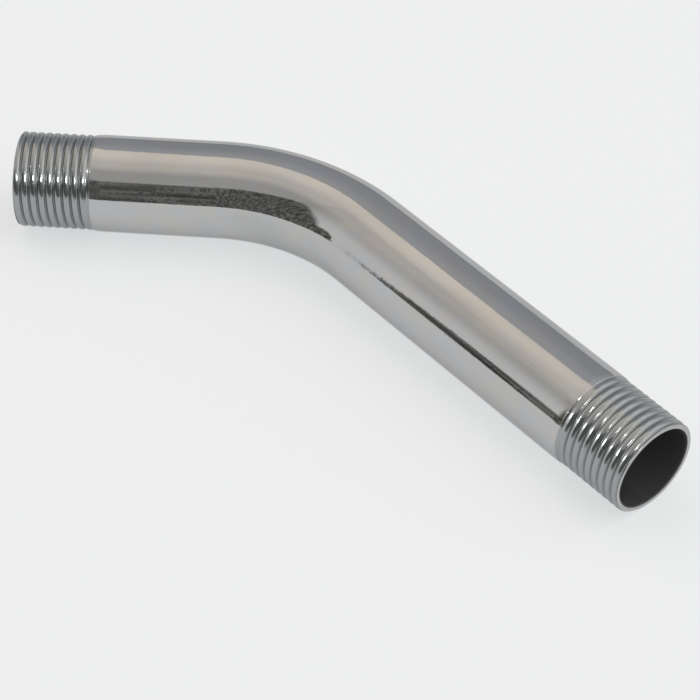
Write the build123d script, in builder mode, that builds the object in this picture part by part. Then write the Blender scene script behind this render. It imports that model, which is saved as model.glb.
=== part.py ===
"""A bent shower arm: one length of brass tube, its two ends turned down for male pipe threads, in millimetres.

The arm lies flat, with its bend in the XY plane. The origin is the middle of the open end that screws
into the wall. The wall leg runs along +Y from there, and the head leg turns away from it towards -X.
"""

import os

from build123d import *

# Tube
tube_diameter = 21.34
tube_wall = 1.65

# Legs, each measured along its axis from its open end to the corner where the two axes cross
wall_leg = 105.5
head_leg = 63.5
bend_angle = 45
bend_radius = 47  # of the tube's axis

# Threaded ends: each is turned down to the crests of its thread
thread_step = 0.22  # how far the crests lie under the tube's outside
thread_length = 16.9  # from the open end to the shoulder where the full tube begins

# Edges of the open ends
rim_chamfer = 0.35
bore_chamfer = 0.3

# Sizes that follow
tube_radius = tube_diameter / 2
bore_radius = tube_radius - tube_wall
crest_radius = tube_radius - thread_step
crest_length = thread_length - thread_step  # the shoulder rises at 45 degrees over the rest
overhang = thread_step  # how far the turning tool stands clear of the tube

# The tube's axis, and a plane at each open end that looks into the tube
head_way = Vector(0, 1, 0).rotate(Axis.Z, bend_angle)
corner = Vector(0, wall_leg, 0)
head_end = corner + head_way * head_leg
wall_mouth = Plane(origin=(0, 0, 0), z_dir=(0, 1, 0))
head_mouth = Plane(origin=head_end, z_dir=-head_way)

# What turning takes off an end: a ring down to the crests, closed by the shoulder
with BuildPart() as turning:
    with BuildSketch(Plane.XZ):
        with BuildLine():
            Polyline(
                (crest_radius, -overhang),
                (crest_radius, crest_length),
                (tube_radius + overhang, thread_length + overhang),
                (tube_radius + overhang, -overhang),
                close=True,
            )
        make_face()
    revolve(axis=Axis.Z)

# The arm: the tube is bent, then its ends are turned, and both edges of each mouth are chamfered
with BuildPart() as shower_arm:
    with BuildLine():
        FilletPolyline((0, 0, 0), corner, head_end, radius=bend_radius)
    with BuildSketch(wall_mouth):
        Circle(tube_radius)
        Circle(bore_radius, mode=Mode.SUBTRACT)
    sweep()
    with Locations(wall_mouth, head_mouth):
        add(turning.part, mode=Mode.SUBTRACT)
    rims = shower_arm.faces().filter_by(GeomType.PLANE).edges().group_by(SortBy.RADIUS)
    chamfer(rims[-1], rim_chamfer)
    chamfer(rims[0], bore_chamfer)

shower_arm.part.label = "shower_arm"
os.makedirs("parts", exist_ok=True)
export_step(shower_arm.part, "parts/shower_arm.step")
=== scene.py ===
"""The looks of a bent shower arm in chrome plate, threaded at both ends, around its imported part."""

import math

import bpy
import numpy as np
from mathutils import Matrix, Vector


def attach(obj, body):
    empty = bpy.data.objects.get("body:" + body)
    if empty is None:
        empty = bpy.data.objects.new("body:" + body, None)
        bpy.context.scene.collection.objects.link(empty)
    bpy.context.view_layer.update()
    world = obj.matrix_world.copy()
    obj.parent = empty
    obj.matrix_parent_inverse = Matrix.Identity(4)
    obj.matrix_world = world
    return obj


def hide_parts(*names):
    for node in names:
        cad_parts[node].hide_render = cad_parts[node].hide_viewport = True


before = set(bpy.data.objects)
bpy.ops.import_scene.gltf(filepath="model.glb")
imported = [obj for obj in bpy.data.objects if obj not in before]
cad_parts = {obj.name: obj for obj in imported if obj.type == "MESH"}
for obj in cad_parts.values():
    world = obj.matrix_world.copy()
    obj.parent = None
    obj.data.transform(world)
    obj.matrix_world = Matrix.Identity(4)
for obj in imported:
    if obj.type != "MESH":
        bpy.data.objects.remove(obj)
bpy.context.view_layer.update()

MM = 0.001

# The arm's sizes in millimetres. The skin lies a hair under the solid's outside.
TUBE_RADIUS = 10.65
BORE_RADIUS = 9.02
WALL_LEG = 105.5
HEAD_LEG = 63.5
BEND_ANGLE = math.radians(45)
BEND_RADIUS = 47.0
RIM_CHAMFER = 0.35
BORE_CHAMFER = 0.3

# The turned ends: a thread's length, and how much lower its crests are than the tube
THREAD_LENGTH = 16.9
SHOULDER = 0.22
CREST_RADIUS = TUBE_RADIUS - SHOULDER
CREST_LENGTH = THREAD_LENGTH - SHOULDER

# The thread: 14 turns to the inch, its grooves 60 degrees open and softened by polish and plating
PITCH = 25.4 / 14
GROOVE_DEPTH = 0.47
CROWN = 0.20  # how much of that depth is the rounding of the crests
GROOVE_ROOT = 0.28
FLANK_LEAN = math.radians(30)
FLANK_WIDTH = (GROOVE_DEPTH - CROWN) * math.tan(FLANK_LEAN)
SOFTENING = 0.6  # how far the rounding reaches past either end of a flank, in flank widths
RUN_OUT = 1.3
THREAD_START = PITCH / 4  # where the skin's rows begin to follow the helix

# Polishing washes out the tube's edge at the shoulder: how far along the tube, and how deep
WASH_RUN = 2.2
WASH_DEPTH = 0.1
WASH_MARGIN = 0.3
PLAIN_START = THREAD_LENGTH + WASH_RUN + WASH_MARGIN

# Lengths along the axis
BEND_TANGENT = BEND_RADIUS * math.tan(BEND_ANGLE / 2)
WALL_RUN = WALL_LEG - BEND_TANGENT
BEND_END = WALL_RUN + BEND_RADIUS * BEND_ANGLE
ARM_RUN = BEND_END + HEAD_LEG - BEND_TANGENT

# How finely the skin is divided, around and along, and how near to a sharp edge the next row lies
COLUMNS = 144
ROWS_A_TURN = 18
WASH_ROWS = 12
WALL_ROWS = 30
BEND_ROWS = 40
HEAD_ROWS = 14
EDGE = 0.05
JOIN_STEPS = 1e5  # points that round to the same of these steps in a millimetre are one

AROUND = np.linspace(0, 2 * np.pi, COLUMNS + 1)[None, :]


def smooth_step(low, high, value):
    """0 below low, 1 above high, and 3t^2 - 2t^3 between them."""
    t = np.clip((value - low) / (high - low), 0, 1)
    return t * t * (3 - 2 * t)


def axis_frame(along):
    """The tube's axis at a length along it: a run up +Y, an arc towards -X, and a second straight run.

    turn is how far the arc has turned. The point is what there is of the first run, plus the arc's chord
    (-R(1 - cos turn), R sin turn), plus what there is of the last run times (-sin turn, cos turn). The side
    (cos turn, sin turn) is square to the axis in the plane of the bend, and points away from its centre.
    """
    turn = np.clip((along - WALL_RUN) / BEND_RADIUS, 0, BEND_ANGLE)
    first = np.minimum(along, WALL_RUN)
    last = np.maximum(along - BEND_END, 0)
    x = -BEND_RADIUS * (1 - np.cos(turn)) - last * np.sin(turn)
    y = first + BEND_RADIUS * np.sin(turn) + last * np.cos(turn)
    level = np.zeros_like(turn)
    return np.stack([x, y, level], -1), np.stack([np.cos(turn), np.sin(turn), level], -1)


def groove(depth_in, phase):
    """How deep the thread is cut, from 0 at the crests to 1 at the roots.

    phase counts turns, with a groove's middle at each half. The distance from that middle goes through a
    smooth step as wide as a softened flank, and a low cosine wave of one turn is added, which rounds the
    crests. The cut fades out by another smooth step before the shoulder.
    """
    from_middle = np.abs(phase - np.floor(phase) - 0.5) * PITCH
    foot = GROOVE_ROOT / 2 - SOFTENING * FLANK_WIDTH
    lip = GROOVE_ROOT / 2 + (1 + SOFTENING) * FLANK_WIDTH
    flanks = 1 - smooth_step(foot, lip, from_middle)
    crown = (1 - np.cos(2 * np.pi * phase)) / 2
    crown_share = CROWN / GROOVE_DEPTH
    fading = smooth_step(CREST_LENGTH, CREST_LENGTH - RUN_OUT, depth_in)
    return ((1 - crown_share) * flanks + crown_share * crown) * fading


def turned_radius(depth_in):
    """The end as it is turned before threading: rim chamfer, crests, 45-degree shoulder and full tube.

    The full tube is lower by the square of the distance left to where polishing no longer washed it out.
    """
    places = [0, RIM_CHAMFER, CREST_LENGTH, THREAD_LENGTH]
    radii = [CREST_RADIUS - RIM_CHAMFER, CREST_RADIUS, CREST_RADIUS, TUBE_RADIUS]
    turned = np.interp(depth_in, places, radii)
    washed = np.clip((THREAD_LENGTH + WASH_RUN - depth_in) / WASH_RUN, 0, 1) ** 2
    return np.minimum(turned, TUBE_RADIUS - WASH_DEPTH * washed)


class Patch:
    """A grid of points given by length along the axis, angle around it and radius.

    Its points also carry how deep the thread is cut there, how far they belong to a threaded end and how far
    to the bore. A patch whose rows run back along the outside, or forward along the bore, is turned, so that
    all patches face outwards.
    """

    def __init__(self, along, around, radius, cut=0.0, threaded=0.0, bore=0.0, turned=False):
        self.along, self.around, self.radius = np.broadcast_arrays(along, around, radius)
        self.marks = np.stack(np.broadcast_arrays(self.radius, cut, threaded, bore)[1:], -1)
        self.turned = turned

    def points(self):
        """The axis point, plus radius times (cos around on the side, sin around upwards)."""
        centre, side = axis_frame(self.along)
        up = np.array([0.0, 0.0, 1.0])
        out = np.cos(self.around)[..., None] * side + np.sin(self.around)[..., None] * up
        return centre + self.radius[..., None] * out

    def straight(self):
        """The same point on the tube before it was bent, with the axis along Z."""
        across = [self.radius * np.cos(self.around), self.radius * np.sin(self.around)]
        return np.stack([*across, self.along], -1)

    def triangles(self):
        """Two triangles for each cell of the grid, as numbers of its points."""
        rows, columns = self.along.shape
        number = np.arange(rows * columns).reshape(rows, columns)
        a, b, c, d = number[:-1, :-1], number[:-1, 1:], number[1:, 1:], number[1:, :-1]
        halves = [np.stack(half, -1).reshape(-1, 3) for half in ((a, c, b), (a, d, c))]
        both = np.concatenate(halves)
        return both[:, ::-1] if self.turned else both


def end_patches(at_head):
    """The patches of one end: the bore's chamfer, the rim's face and chamfer, the thread and the shoulder.

    Length from the mouth is turned into length along the axis, which runs the other way at the head end. A
    row of the thread follows the helix: its length from the mouth is the pitch times its phase, less or plus
    the turns around, so that both ends are right-handed. Rows stop at the planes where the thread's patch
    begins and ends.
    """
    hand = -1.0 if at_head else 1.0
    turns_around = hand * AROUND / (2 * np.pi)

    def on_axis(depth_in):
        """A length from the mouth as a length along the axis."""
        return ARM_RUN - depth_in if at_head else depth_in

    def skin(depth_in):
        """The turned end at lengths from the mouth, less the groove's depth wherever that cuts lower."""
        cut = groove(depth_in, depth_in / PITCH + turns_around)
        turned = turned_radius(depth_in)
        lower = np.minimum(turned, CREST_RADIUS - GROOVE_DEPTH * cut)
        radius = np.where(depth_in < CREST_LENGTH, lower, turned)
        threaded = smooth_step(THREAD_LENGTH, CREST_LENGTH, depth_in)
        return Patch(on_axis(depth_in), AROUND, radius, cut, threaded, turned=at_head)

    # The bore's chamfer takes the bore's painted shade too, fading in over its first EDGE
    mouth_depth = np.array([BORE_CHAMFER + EDGE, BORE_CHAMFER, BORE_CHAMFER - EDGE, EDGE, 0.0])[:, None]
    mouth_radius = BORE_RADIUS + np.maximum(BORE_CHAMFER - mouth_depth, 0)
    dark = smooth_step(0, EDGE, mouth_depth)
    mouth = Patch(on_axis(mouth_depth), AROUND, mouth_radius, bore=dark, turned=at_head)

    inner_edge = BORE_RADIUS + BORE_CHAMFER
    outer_edge = CREST_RADIUS - RIM_CHAMFER
    face_radius = np.array([inner_edge, inner_edge + EDGE, outer_edge - EDGE, outer_edge])[:, None]
    cut_at_mouth = groove(np.zeros((1, 1)), turns_around)
    ring_radius = np.minimum(face_radius, CREST_RADIUS - GROOVE_DEPTH * cut_at_mouth)
    ring = Patch(on_axis(np.zeros_like(face_radius)), AROUND, ring_radius, turned=at_head)

    rim_depth = [0, EDGE, RIM_CHAMFER / 2, RIM_CHAMFER - EDGE]
    rim_depth += [RIM_CHAMFER, RIM_CHAMFER + EDGE, THREAD_START]
    rim = skin(np.array(rim_depth)[:, None])

    turns = math.ceil(CREST_LENGTH / PITCH) + 2
    phase = np.arange(-ROWS_A_TURN, turns * ROWS_A_TURN + 1)[:, None] / ROWS_A_TURN
    thread_end = CREST_LENGTH - EDGE
    thread = skin(np.clip(PITCH * (phase - turns_around), THREAD_START, thread_end))

    shoulder_top = THREAD_LENGTH - WASH_DEPTH
    shoulder_depth = [thread_end, CREST_LENGTH, shoulder_top - EDGE, shoulder_top, shoulder_top + EDGE]
    shoulder_depth += list(np.linspace(THREAD_LENGTH, PLAIN_START, WASH_ROWS))
    shoulder = skin(np.array(shoulder_depth)[:, None])
    return [mouth, ring, rim, thread, shoulder]


def rows_along(start):
    """Lengths along the axis, from start to as far from the head end, evenly spaced in each of its runs."""
    return np.concatenate([
        np.linspace(start, WALL_RUN, WALL_ROWS),
        np.linspace(WALL_RUN, BEND_END, BEND_ROWS)[1:],
        np.linspace(BEND_END, ARM_RUN - start, HEAD_ROWS)[1:],
    ])[:, None]


def arm_mesh():
    """The whole skin as one closed mesh: two threaded ends, the plain tube between them and the bore.

    Points of neighbouring patches that fall on each other are joined by rounding them to whole hundredths
    of a micrometre, and triangles that this leaves with two equal corners are dropped.
    """
    patches = [
        *end_patches(False),
        *end_patches(True),
        Patch(rows_along(PLAIN_START), AROUND, TUBE_RADIUS),
        Patch(rows_along(BORE_CHAMFER + EDGE), AROUND, BORE_RADIUS, bore=1.0, turned=True),
    ]
    points = np.concatenate([p.points().reshape(-1, 3) for p in patches])
    straight = np.concatenate([p.straight().reshape(-1, 3) for p in patches])
    marks = np.concatenate([p.marks.reshape(-1, 3) for p in patches])
    starts = np.cumsum([0] + [p.along.size for p in patches])[:-1]
    corners = np.concatenate([p.triangles() + start for p, start in zip(patches, starts)])

    steps = np.rint(points * JOIN_STEPS).astype(np.int64)
    _, kept, joined = np.unique(steps, axis=0, return_index=True, return_inverse=True)
    corners = joined.reshape(-1)[corners]
    a, b, c = corners.T
    corners = corners[(a != b) & (b != c) & (c != a)]
    return points[kept] * MM, straight[kept] * MM, marks[kept], corners


def build_arm():
    """The arm's mesh as an object, whose points keep their unbent place and their marks for the material."""
    points, straight, marks, corners = arm_mesh()
    mesh = bpy.data.meshes.new("shower_arm_skin")
    mesh.from_pydata(points, [], corners)
    mesh.update()
    mesh.shade_smooth()
    unbent = mesh.attributes.new("straight", "FLOAT_VECTOR", "POINT")
    unbent.data.foreach_set("vector", straight.astype(np.float32).ravel())
    for name, values in zip(("cut", "threaded", "bore"), marks.T):
        mark = mesh.attributes.new(name, "FLOAT", "POINT")
        mark.data.foreach_set("value", values.astype(np.float32))
    arm = bpy.data.objects.new("shower_arm_skin", mesh)
    bpy.context.scene.collection.objects.link(arm)
    return arm


# Nodes that the chrome, the floor and the room are made of


def feed(tree, socket, source):
    """Puts a number, a colour or another node's output into a socket."""
    if isinstance(source, bpy.types.NodeSocket):
        tree.links.new(source, socket)
    else:
        socket.default_value = source


def mark_of(tree, name, output="Fac"):
    """What the skin's points carry under this name."""
    node = tree.nodes.new("ShaderNodeAttribute")
    node.attribute_name = name
    return node.outputs[output]


def stretched(tree, place, factors):
    """A place with each of its axes multiplied, so that a pattern shrinks along the larger ones."""
    node = tree.nodes.new("ShaderNodeVectorMath")
    node.operation = "MULTIPLY"
    feed(tree, node.inputs[0], place)
    node.inputs[1].default_value = factors
    return node.outputs["Vector"]


def along_way(tree, place, way):
    """How far a place or direction lies along a way: its dot product with the way's unit vector."""
    node = tree.nodes.new("ShaderNodeVectorMath")
    node.operation = "DOT_PRODUCT"
    feed(tree, node.inputs[0], place)
    node.inputs[1].default_value = Vector(way).normalized()
    return node.outputs["Value"]


def noise(tree, place, scale, detail=2.0):
    """Soft noise between 0 and 1, with so many lumps to a unit of place."""
    node = tree.nodes.new("ShaderNodeTexNoise")
    feed(tree, node.inputs["Vector"], place)
    node.inputs["Scale"].default_value = scale
    node.inputs["Detail"].default_value = detail
    return node.outputs["Fac"]


def step(tree, value, low, high, start=0.0, end=1.0):
    """start where the value is at low, end where it is at high, and a smooth step between."""
    node = tree.nodes.new("ShaderNodeMapRange")
    node.interpolation_type = "SMOOTHSTEP"
    feed(tree, node.inputs["Value"], value)
    node.inputs["From Min"].default_value = low
    node.inputs["From Max"].default_value = high
    node.inputs["To Min"].default_value = start
    node.inputs["To Max"].default_value = end
    return node.outputs["Result"]


def combined(tree, operation, first, second):
    """Two numbers put together by a Math operation."""
    node = tree.nodes.new("ShaderNodeMath")
    node.operation = operation
    feed(tree, node.inputs[0], first)
    feed(tree, node.inputs[1], second)
    return node.outputs["Value"]


def blend(tree, mask, below, above, kind="RGBA"):
    """below where the mask is 0, above where it is 1."""
    node = tree.nodes.new("ShaderNodeMix")
    node.data_type = kind
    feed(tree, node.inputs["Factor"], mask)
    feed(tree, node.inputs["A"], below)
    feed(tree, node.inputs["B"], above)
    return node.outputs["Result"]


def new_material(name):
    """A material under this name, with its nodes and the shader among them."""
    material = bpy.data.materials.new(name)
    material.use_nodes = True
    tree = material.node_tree
    return material, tree, tree.nodes["Principled BSDF"]


# The chrome's colours
PLATE_COOL = (0.495, 0.505, 0.525, 1)
PLATE_WARM = (0.515, 0.505, 0.49, 1)
WIPED_PLATE = (0.46, 0.465, 0.47, 1)
THREAD_PLATE = (0.36, 0.375, 0.383, 1)
# The roots' darker colour is painted shade where the grooves shade themselves, and partly dirt
GROOVE_DIRT_AND_SHADE = (0.24, 0.25, 0.255, 1)
DUST = (0.72, 0.72, 0.70, 1)
# The bore wall's near-black is painted shade inside the tube
BORE_SHADE = (0.05, 0.05, 0.05, 1)
GLANCING_TINT = (0.72, 0.72, 0.72, 1)  # chromium mirrors less at a glancing angle

# Its roughness, as one value or from a pattern's low to its high places
MIRROR_ROUGHNESS = (0.03, 0.05)
WIPING_ROUGHNESS = 0.06
THREAD_ROUGHNESS = (0.13, 0.21)
DIRT_ROUGHNESS = 0.3
DUST_ROUGHNESS = 0.6
BORE_ROUGHNESS = 0.75

# Its patterns: how each is drawn together along the tube, its lumps to the metre and its detail
WAVES = ((1, 1, 0.35), 60, 1.0)
RINGS = ((1, 1, 25), 220, 2.0)
WIPING = ((1, 1, 0.3), 130, 4.0)
TINT = ((1, 1, 1), 260, 3.0)
PITTING = ((1, 1, 1), 2600, 3.0)
DENTS = ((1, 1, 1), 500, 2.0)

# Where a pattern begins to count and where it counts in full
WIPING_LIMITS = (0.45, 0.75)
TINT_LIMITS = (0.35, 0.65)
ROUGHNESS_LIMITS = (0.3, 0.7)
DIRT_AND_SHADE_LIMITS = (0.45, 1.15)
DIRT_AND_SHADE_PATCHINESS = 0.5

# How high the patterns stand, in metres
WAVE_HEIGHT = 0.1 * MM
PEEL_HEIGHT = 0.012 * MM
PIT_HEIGHT = 0.01 * MM
DENT_HEIGHT = 0.04 * MM

# Flecks of dust: cells to the metre, a fleck's radius in metres, and in how many of the cells there is one
DUST_CELLS = 150
DUST_SIZE = 0.16 * MM
DUST_SHARE = 0.3
DUST_SHARE_STEP = 0.01


def dust(tree, place):
    """Round flecks: one to a cell of a Voronoi pattern, in the cells whose random colour is red enough."""
    node = tree.nodes.new("ShaderNodeTexVoronoi")
    feed(tree, node.inputs["Vector"], place)
    node.inputs["Scale"].default_value = DUST_CELLS
    radius = DUST_SIZE * DUST_CELLS
    fleck = step(tree, node.outputs["Distance"], radius, radius / 2)
    colour = tree.nodes.new("ShaderNodeSeparateColor")
    feed(tree, colour.inputs["Color"], node.outputs["Color"])
    chosen = step(tree, colour.outputs["Red"], 1 - DUST_SHARE, 1 - DUST_SHARE + DUST_SHARE_STEP)
    return combined(tree, "MULTIPLY", fleck, chosen)


def polished_chrome():
    """Bright plate on polished brass, with its patterns laid on the tube as it was before it was bent.

    The plain tube is a mirror with long low waves, a faint orange peel, wiping marks and a few flecks of
    dust. The threaded ends are darker, duller, dented and a little rough, with dirt and painted shade down
    in
    the grooves: a darker colour in the roots. The bore is dull, and its near-black colour is painted shade.
    """
    material, tree, shader = new_material("polished_chrome")
    place = mark_of(tree, "straight", "Vector")
    cut = mark_of(tree, "cut")
    threaded = mark_of(tree, "threaded")
    bore = mark_of(tree, "bore")

    def pattern(stretch, lumps, detail):
        """Soft noise on the unbent tube."""
        return noise(tree, stretched(tree, place, stretch), lumps, detail)

    waves = pattern(*WAVES)
    rings = pattern(*RINGS)
    wiping = step(tree, pattern(*WIPING), *WIPING_LIMITS)
    tint = pattern(*TINT)
    pitting = pattern(*PITTING)
    dents = pattern(*DENTS)
    flecks = dust(tree, place)

    plate = blend(tree, step(tree, tint, *TINT_LIMITS), PLATE_COOL, PLATE_WARM)
    hazed = blend(tree, wiping, plate, WIPED_PLATE)
    # Down in the grooves: painted shade in the colour, and dirt's roughness
    patchy_cut = combined(tree, "ADD", cut, combined(tree, "MULTIPLY", pitting, DIRT_AND_SHADE_PATCHINESS))
    dirt_and_shade = step(tree, patchy_cut, *DIRT_AND_SHADE_LIMITS)
    dull_plate = blend(tree, threaded, hazed, THREAD_PLATE)
    dirty_and_shaded = blend(tree, dirt_and_shade, dull_plate, GROOVE_DIRT_AND_SHADE)
    dusty = blend(tree, flecks, dirty_and_shaded, DUST)
    # The bore is painted near-black as shade
    feed(tree, shader.inputs["Base Color"], blend(tree, bore, dusty, BORE_SHADE))

    polish = step(tree, rings, *ROUGHNESS_LIMITS, *MIRROR_ROUGHNESS)
    mirror = combined(tree, "ADD", polish, combined(tree, "MULTIPLY", wiping, WIPING_ROUGHNESS))
    cut_metal = step(tree, pitting, *ROUGHNESS_LIMITS, *THREAD_ROUGHNESS)
    dulled = blend(tree, threaded, mirror, cut_metal, "FLOAT")
    dulled = blend(tree, dirt_and_shade, dulled, DIRT_ROUGHNESS, "FLOAT")
    dulled = blend(tree, flecks, dulled, DUST_ROUGHNESS, "FLOAT")
    feed(tree, shader.inputs["Roughness"], blend(tree, bore, dulled, BORE_ROUGHNESS, "FLOAT"))

    metal = combined(tree, "SUBTRACT", 1.0, combined(tree, "MAXIMUM", flecks, bore))
    feed(tree, shader.inputs["Metallic"], metal)

    wavy = combined(tree, "MULTIPLY", waves, WAVE_HEIGHT)
    peel = combined(tree, "MULTIPLY", dents, PEEL_HEIGHT)
    pitted = combined(tree, "MULTIPLY", pitting, PIT_HEIGHT)
    dented = combined(tree, "MULTIPLY", dents, DENT_HEIGHT)
    rough_cut = combined(tree, "MULTIPLY", combined(tree, "ADD", pitted, dented), threaded)
    bump = tree.nodes.new("ShaderNodeBump")
    bump.inputs["Distance"].default_value = 1.0
    feed(tree, bump.inputs["Height"], combined(tree, "ADD", combined(tree, "ADD", wavy, peel), rough_cut))
    feed(tree, shader.inputs["Normal"], bump.outputs["Normal"])
    shader.inputs["Specular Tint"].default_value = GLANCING_TINT
    return material


arm = build_arm()
arm.data.materials.append(polished_chrome())
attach(arm, "root")
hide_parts("shower_arm")

# Floor, in metres
FLOOR = -10.67 * MM
FLOOR_SIZE = 6
PAPER = (0.925, 0.94, 0.965, 1)
PAPER_ROUGHNESS = 0.9
PAPER_GLOW = (0.975, 0.99, 1.0, 1)
WHITENING = 0.6


def pale_paper():
    """Matt paper that eyes and mirrors see lifted part of the way to white, and that keeps a shadow."""
    material, tree, shader = new_material("pale_paper")
    shader.inputs["Base Color"].default_value = PAPER
    shader.inputs["Roughness"].default_value = PAPER_ROUGHNESS
    shader.inputs["Specular IOR Level"].default_value = 0.0
    rays = tree.nodes.new("ShaderNodeLightPath")
    seen = combined(tree, "MAXIMUM", rays.outputs["Is Camera Ray"], rays.outputs["Is Glossy Ray"])
    seen = combined(tree, "MAXIMUM", seen, rays.outputs["Is Transmission Ray"])
    glow = tree.nodes.new("ShaderNodeEmission")
    glow.inputs["Color"].default_value = PAPER_GLOW
    whitened = tree.nodes.new("ShaderNodeMixShader")
    feed(tree, whitened.inputs["Fac"], combined(tree, "MULTIPLY", seen, WHITENING))
    feed(tree, whitened.inputs[1], shader.outputs["BSDF"])
    feed(tree, whitened.inputs[2], glow.outputs["Emission"])
    feed(tree, tree.nodes["Material Output"].inputs["Surface"], whitened.outputs["Shader"])
    return material


bpy.ops.mesh.primitive_plane_add(size=FLOOR_SIZE, location=(0, 0, FLOOR))
floor = bpy.context.object
floor.name = "floor"
floor.data.materials.append(pale_paper())

# Camera
CAMERA_LENS = 117.443
CAMERA_SENSOR = 36
CAMERA_REACH = (0.01, 20)
CAMERA_PLACE = Vector((-236.601, -190.490, 327.405)) * MM
CAMERA_WAY = Vector((0.45668, 0.54436, -0.70364))

camera_data = bpy.data.cameras.new("camera")
camera_data.lens = CAMERA_LENS
camera_data.sensor_width = CAMERA_SENSOR
camera_data.clip_start, camera_data.clip_end = CAMERA_REACH
camera = bpy.data.objects.new("camera", camera_data)
camera.location = CAMERA_PLACE
camera.rotation_euler = CAMERA_WAY.to_track_quat("-Z", "Y").to_euler()
bpy.context.scene.collection.objects.link(camera)
bpy.context.scene.camera = camera

# A large soft lamp at the front, in metres
MIDDLE = Vector((-0.017, 0.071, FLOOR))
FRONT_PLACE = Vector((0.75, -0.90, 1.05))
FRONT_SIZE = (2.4, 2.2)
FRONT_RADIANCE = 0.45
FRONT_COLOUR = (0.95, 0.98, 1.0)

# Small lamps that light the arm alone. Their narrow beams put rows of bright marks on the threads. Each
# has a place, an aim and a radiance.
BESIDE_CAMERA = CAMERA_PLACE + Vector((0.02, 0.02, 0.0))
WALL_THREAD = Vector(axis_frame(THREAD_LENGTH / 2)[0]) * MM
HEAD_THREAD = Vector(axis_frame(ARM_RUN - THREAD_LENGTH / 2)[0]) * MM
THREAD_LIGHTS = {
    "head_light": (BESIDE_CAMERA, HEAD_THREAD, 0.6),
    "upper_wall_light": (Vector((-0.090, -0.415, 0.334)), WALL_THREAD, 0.5),
    "lower_wall_light": (Vector((-0.364, 0.436, 0.210)), WALL_THREAD, 0.8),
}
THREAD_LIGHT_SIZE = (0.055, 0.055)
THREAD_LIGHT_SPREAD = math.radians(13)
THREAD_LIGHT_COLOUR = (1.0, 1.0, 1.0)


def softbox(name, place, aim, size, radiance, colour, spread=math.pi):
    """A rectangular area lamp. Its power is radiance times pi times its area, gathered in its spread."""
    width, height = size
    data = bpy.data.lights.new(name, "AREA")
    data.shape = "RECTANGLE"
    data.size = width
    data.size_y = height
    data.energy = radiance * math.pi * width * height
    data.color = colour
    data.spread = spread
    lamp = bpy.data.objects.new(name, data)
    lamp.location = place
    lamp.rotation_euler = (aim - place).to_track_quat("-Z", "Y").to_euler()
    bpy.context.scene.collection.objects.link(lamp)
    return lamp


softbox("front", FRONT_PLACE, MIDDLE, FRONT_SIZE, FRONT_RADIANCE, FRONT_COLOUR)
lit_arm = bpy.data.collections.new("lit_arm")
lit_arm.objects.link(arm)
for name, (place, aim, radiance) in THREAD_LIGHTS.items():
    light = softbox(name, place, aim, THREAD_LIGHT_SIZE, radiance, THREAD_LIGHT_COLOUR, THREAD_LIGHT_SPREAD)
    light.light_linking.receiver_collection = lit_arm

# The room's light by direction: colours of its dim and lit places
NEAR_CEILING = ((0.53, 0.52, 0.50, 1), (1.03, 0.945, 0.835, 1))
FAR_CEILING = ((0.51, 0.50, 0.48, 1), (0.90, 0.83, 0.74, 1))
LEFT_WALL = (0.85, 0.85, 0.84, 1)
RIGHT_WALL = ((0.42, 0.43, 0.46, 1), (0.52, 0.52, 0.53, 1))
FRONT_WALL = (0.68, 0.68, 0.67, 1)
CLOTH = ((0.05, 0.05, 0.046, 1), (0.27, 0.275, 0.25, 1))

# Its edges: a way, and how far along it a direction lies where the edge's mask is 0 and where it is 1
UP = (0, 0, 1)
BACK = (0, 1, 0)
LEFT = (-0.84, 0.54, 0.05)
ACROSS = (1, 0.35, 0)
LOWER_GLOW = (ACROSS, -0.47, -0.17)
UPPER_GLOW = (ACROSS, -0.10, 0.28)
CEILING_JOINT = ((-0.44, 1, -0.768), -0.012, 0.0)
LEFT_WALL_EDGE = (LEFT, 0.70, 1.0)
RIGHT_WALL_EDGE = ((1, 0, -0.36), -0.01, 0.03)
RIGHT_WALL_RISE = (UP, 0.45, 0.8)
FRONT_WALL_EDGE = (BACK, 0.42, 0.30)
SCREEN_SIDE = ((-0.4067, -0.9135, 0), -0.05, 0.05)
SCREEN_END = ((-0.866, -0.5, 0), 0.3, 0.5)
SCREEN_TOP = (UP, 0.72, 0.67)
STRIP_SIDE = (LEFT, 0.85, 0.9)

# The ceiling lights up in two soft steps: how much of its glow the lower one gives
LOWER_GLOW_SHARE = 0.55

# A low dark strip at the left: its middle and half its length along BACK, its height, and its soft edge
STRIP_MIDDLE = 0.43
STRIP_HALF = 0.135
STRIP_HEIGHT = 0.27
STRIP_EDGE = (1.0, 0.6)

# The screen's weave: two grains of noise, how each is drawn together, and what of their sum is light
WEAVE_WAY = (-1, 1, 0)
WEAVE_DRAWN = (12.0, 80.0)
WEAVE_SCALE = 7
WEAVE_LIMITS = (0.85, 1.2)


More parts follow.
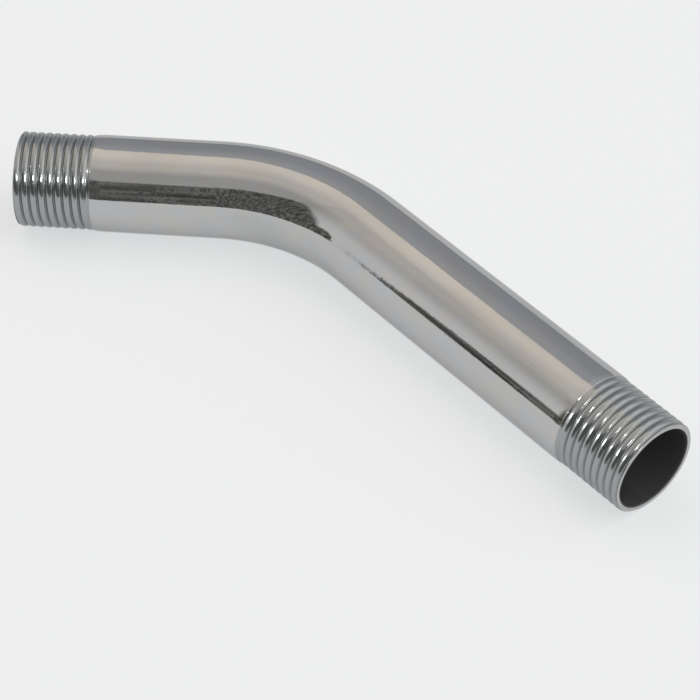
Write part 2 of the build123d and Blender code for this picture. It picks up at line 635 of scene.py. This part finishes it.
def studio():
    """A room around the arm: a warm ceiling, a grey wall at the right, pale walls and a dark screen.

    Each edge in it is a mask: a smooth step of how far a direction lies along the edge's way. The strip is
    what lies inside the curve (along / half its length)^4 + (up / its height)^2 = 1.
    """
    world = bpy.data.worlds.new("studio")
    world.use_nodes = True
    tree = world.node_tree
    direction = tree.nodes.new("ShaderNodeTexCoord").outputs["Generated"]
    up = along_way(tree, direction, UP)
    back = along_way(tree, direction, BACK)

    def past(way, low, high):
        """The mask of one edge."""
        return step(tree, along_way(tree, direction, way), low, high)

    lower_glow = combined(tree, "MULTIPLY", past(*LOWER_GLOW), LOWER_GLOW_SHARE)
    upper_glow = combined(tree, "MULTIPLY", past(*UPPER_GLOW), 1 - LOWER_GLOW_SHARE)
    glow = combined(tree, "ADD", lower_glow, upper_glow)
    near = blend(tree, glow, *NEAR_CEILING)
    far = blend(tree, glow, *FAR_CEILING)
    ceiling = blend(tree, past(*CEILING_JOINT), near, far)
    ceiling = blend(tree, past(*LEFT_WALL_EDGE), ceiling, LEFT_WALL)
    wall = blend(tree, past(*RIGHT_WALL_RISE), *RIGHT_WALL)
    wall = blend(tree, past(*FRONT_WALL_EDGE), wall, FRONT_WALL)
    room = blend(tree, past(*RIGHT_WALL_EDGE), ceiling, wall)

    screen = combined(tree, "MULTIPLY", past(*SCREEN_SIDE), past(*SCREEN_END))
    screen = combined(tree, "MULTIPLY", screen, past(*SCREEN_TOP))
    strip_along = combined(tree, "DIVIDE", combined(tree, "SUBTRACT", back, STRIP_MIDDLE), STRIP_HALF)
    strip_up = combined(tree, "DIVIDE", up, STRIP_HEIGHT)
    along_power = combined(tree, "POWER", strip_along, 4)
    up_power = combined(tree, "POWER", strip_up, 2)
    strip_out = combined(tree, "ADD", along_power, up_power)
    strip = combined(tree, "MULTIPLY", step(tree, strip_out, *STRIP_EDGE), past(*STRIP_SIDE))

    weave = []
    for drawn in WEAVE_DRAWN:
        place = tree.nodes.new("ShaderNodeCombineXYZ")
        along = along_way(tree, direction, WEAVE_WAY)
        feed(tree, place.inputs["X"], combined(tree, "MULTIPLY", along, drawn))
        feed(tree, place.inputs["Y"], up)
        weave.append(noise(tree, place.outputs["Vector"], WEAVE_SCALE))
    cloth = blend(tree, step(tree, combined(tree, "ADD", *weave), *WEAVE_LIMITS), *CLOTH)
    room = blend(tree, combined(tree, "MAXIMUM", screen, strip), room, cloth)
    feed(tree, tree.nodes["Background"].inputs["Color"], room)
    return world


bpy.context.scene.world = studio()

bpy.context.scene.view_settings.view_transform = "Standard"
